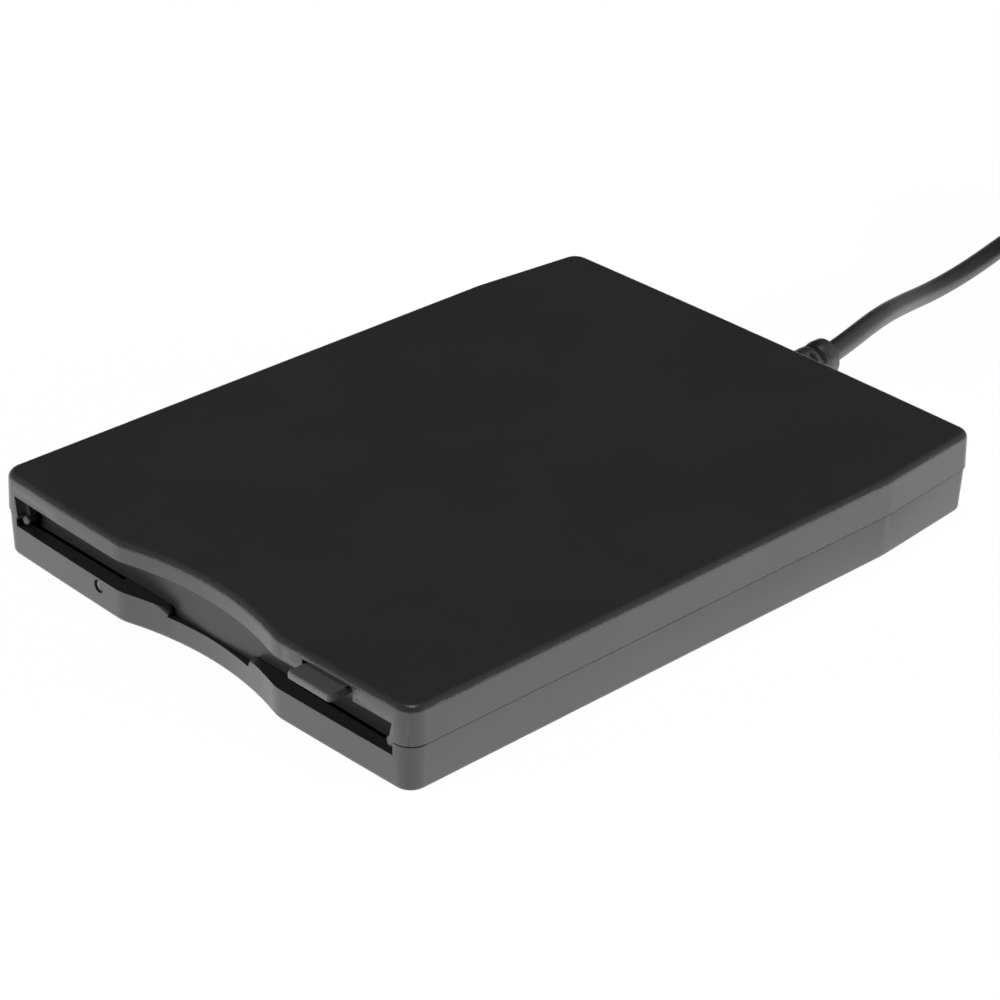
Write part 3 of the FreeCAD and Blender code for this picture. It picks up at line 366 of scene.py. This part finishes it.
def coilPoints(c):
    """Clockwise turns seen from above: the centre plus the radius times the angle's cosine and sine.

    The radius and the height change by soft steps, each in the front half of the ring, so the passes
    lie outer low, inner low, inner high and outer high.
    """
    a = np.linspace(0, c["turns"] * 2 * np.pi, int(c["turns"] * c["stepsPerTurn"]) + 1)
    deg = np.degrees(a)
    r = c["outer"] - (c["outer"] - c["inner"]) * smoothStep(deg, *c["goInwards"])
    z = c["lowZ"] + (c["highZ"] - c["lowZ"]) * smoothStep(deg, *c["goUp"])
    r = r + (c["outer"] - c["inner"]) * smoothStep(deg, *c["goOutwards"])
    angle = np.pi - a
    x = c["coilCenter"][0] + r * np.cos(angle)
    y = c["coilCenter"][1] + r * np.sin(angle)
    return np.stack([x, y, z], 1)


def makeCable(c):
    points = np.vstack([route, coilPoints(c), tail])
    curve = bpy.data.curves.new("usbCable", "CURVE")
    curve.dimensions = "3D"
    curve.resolution_u = 6
    curve.bevel_depth = c["radius"]
    curve.bevel_resolution = 6
    curve.use_fill_caps = True
    spline = curve.splines.new("NURBS")
    spline.points.add(len(points) - 1)
    spline.points.foreach_set("co", np.column_stack([points, np.ones(len(points))]).ravel())
    spline.order_u = 3
    spline.use_endpoint_u = True
    curve.materials.append(finishes["cable_black"])
    obj = bpy.data.objects.new("usbCable", curve)
    bpy.context.scene.collection.objects.link(obj)
    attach(obj, "housing")
    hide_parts(*cordNodes)


makeCable(cable)
print("cable laid")


# Floor, world and lamps
stage = {"floorSize": 8.0, "floorZ": -0.0001, "floorGrey": 0.8, "whiteShare": 0.92, "glow": 1.06}
room = {"level": 0.04, "seenLevel": 1.0}


def makeFloor(s):
    mesh = bpy.data.meshes.new("floor")
    h = s["floorSize"] / 2
    corners = [(x, y, s["floorZ"]) for x, y in ((-h, -h), (h, -h), (h, h), (-h, h))]
    mesh.from_pydata(corners, [], [(0, 1, 2, 3)])
    floor = bpy.data.objects.new("floor", mesh)
    bpy.context.scene.collection.objects.link(floor)
    mat, tree, shader = newMaterial("floorWhite")
    shader.inputs["Base Color"].default_value = (s["floorGrey"],) * 3 + (1,)
    shader.inputs["Roughness"].default_value = 1.0
    shader.inputs["Specular IOR Level"].default_value = 0.0
    glow = addNode(tree, "ShaderNodeEmission", Color=(1, 1, 1, 1), Strength=s["glow"])
    rays = addNode(tree, "ShaderNodeLightPath")
    seen = addNode(tree, "ShaderNodeMath", operation="MAXIMUM")
    tree.links.new(rays.outputs["Is Camera Ray"], seen.inputs[0])
    tree.links.new(rays.outputs["Is Glossy Ray"], seen.inputs[1])
    seenToo = addNode(tree, "ShaderNodeMath", operation="MAXIMUM")
    tree.links.new(seen.outputs[0], seenToo.inputs[0])
    tree.links.new(rays.outputs["Is Transmission Ray"], seenToo.inputs[1])
    share = addNode(tree, "ShaderNodeMath", operation="MULTIPLY")
    share.inputs[1].default_value = s["whiteShare"]
    tree.links.new(seenToo.outputs[0], share.inputs[0])
    mix = addNode(tree, "ShaderNodeMixShader")
    tree.links.new(share.outputs[0], mix.inputs[0])
    tree.links.new(shader.outputs[0], mix.inputs[1])
    tree.links.new(glow.outputs[0], mix.inputs[2])
    tree.links.new(mix.outputs[0], tree.nodes["Material Output"].inputs["Surface"])
    mesh.materials.append(mat)


def makeWorld(s):
    world = bpy.data.worlds.new("studio")
    bpy.context.scene.world = world
    world.use_nodes = True
    tree = world.node_tree
    dim = tree.nodes["Background"]
    dim.inputs["Color"].default_value = (1, 1, 1, 1)
    dim.inputs["Strength"].default_value = s["level"]
    white = addNode(tree, "ShaderNodeBackground", Color=(1, 1, 1, 1), Strength=s["seenLevel"])
    rays = addNode(tree, "ShaderNodeLightPath")
    mix = addNode(tree, "ShaderNodeMixShader")
    tree.links.new(rays.outputs["Is Camera Ray"], mix.inputs[0])
    tree.links.new(dim.outputs[0], mix.inputs[1])
    tree.links.new(white.outputs[0], mix.inputs[2])
    tree.links.new(mix.outputs[0], tree.nodes["World Output"].inputs["Surface"])


lamps = {
    "frontBox": {"at": (-0.78, -1.0, 0.16), "size": (1.2, 0.3), "watts": 22.0, "mirrored": False},
    "sideBox": {"at": (1.05, 0.8, 0.16), "size": (1.4, 0.3), "watts": 29.0, "mirrored": False},
    "overhead": {"at": (0.0, 0.0, 1.3), "size": (0.3, 0.3), "watts": 1.9, "mirrored": True},
}


def makeLamp(name, s):
    data = bpy.data.lights.new(name, "AREA")
    data.shape = "RECTANGLE"
    data.size, data.size_y = s["size"]
    data.energy = s["watts"]
    obj = bpy.data.objects.new(name, data)
    bpy.context.scene.collection.objects.link(obj)
    spot = Vector(s["at"])
    obj.visible_glossy = s["mirrored"]
    obj.matrix_world = Matrix.Translation(spot) @ spot.to_track_quat("Z", "Y").to_matrix().to_4x4()


makeFloor(stage)
makeWorld(room)
for name, values in lamps.items():
    makeLamp(name, values)
bpy.context.scene.view_settings.view_transform = "Standard"
print("stage set")
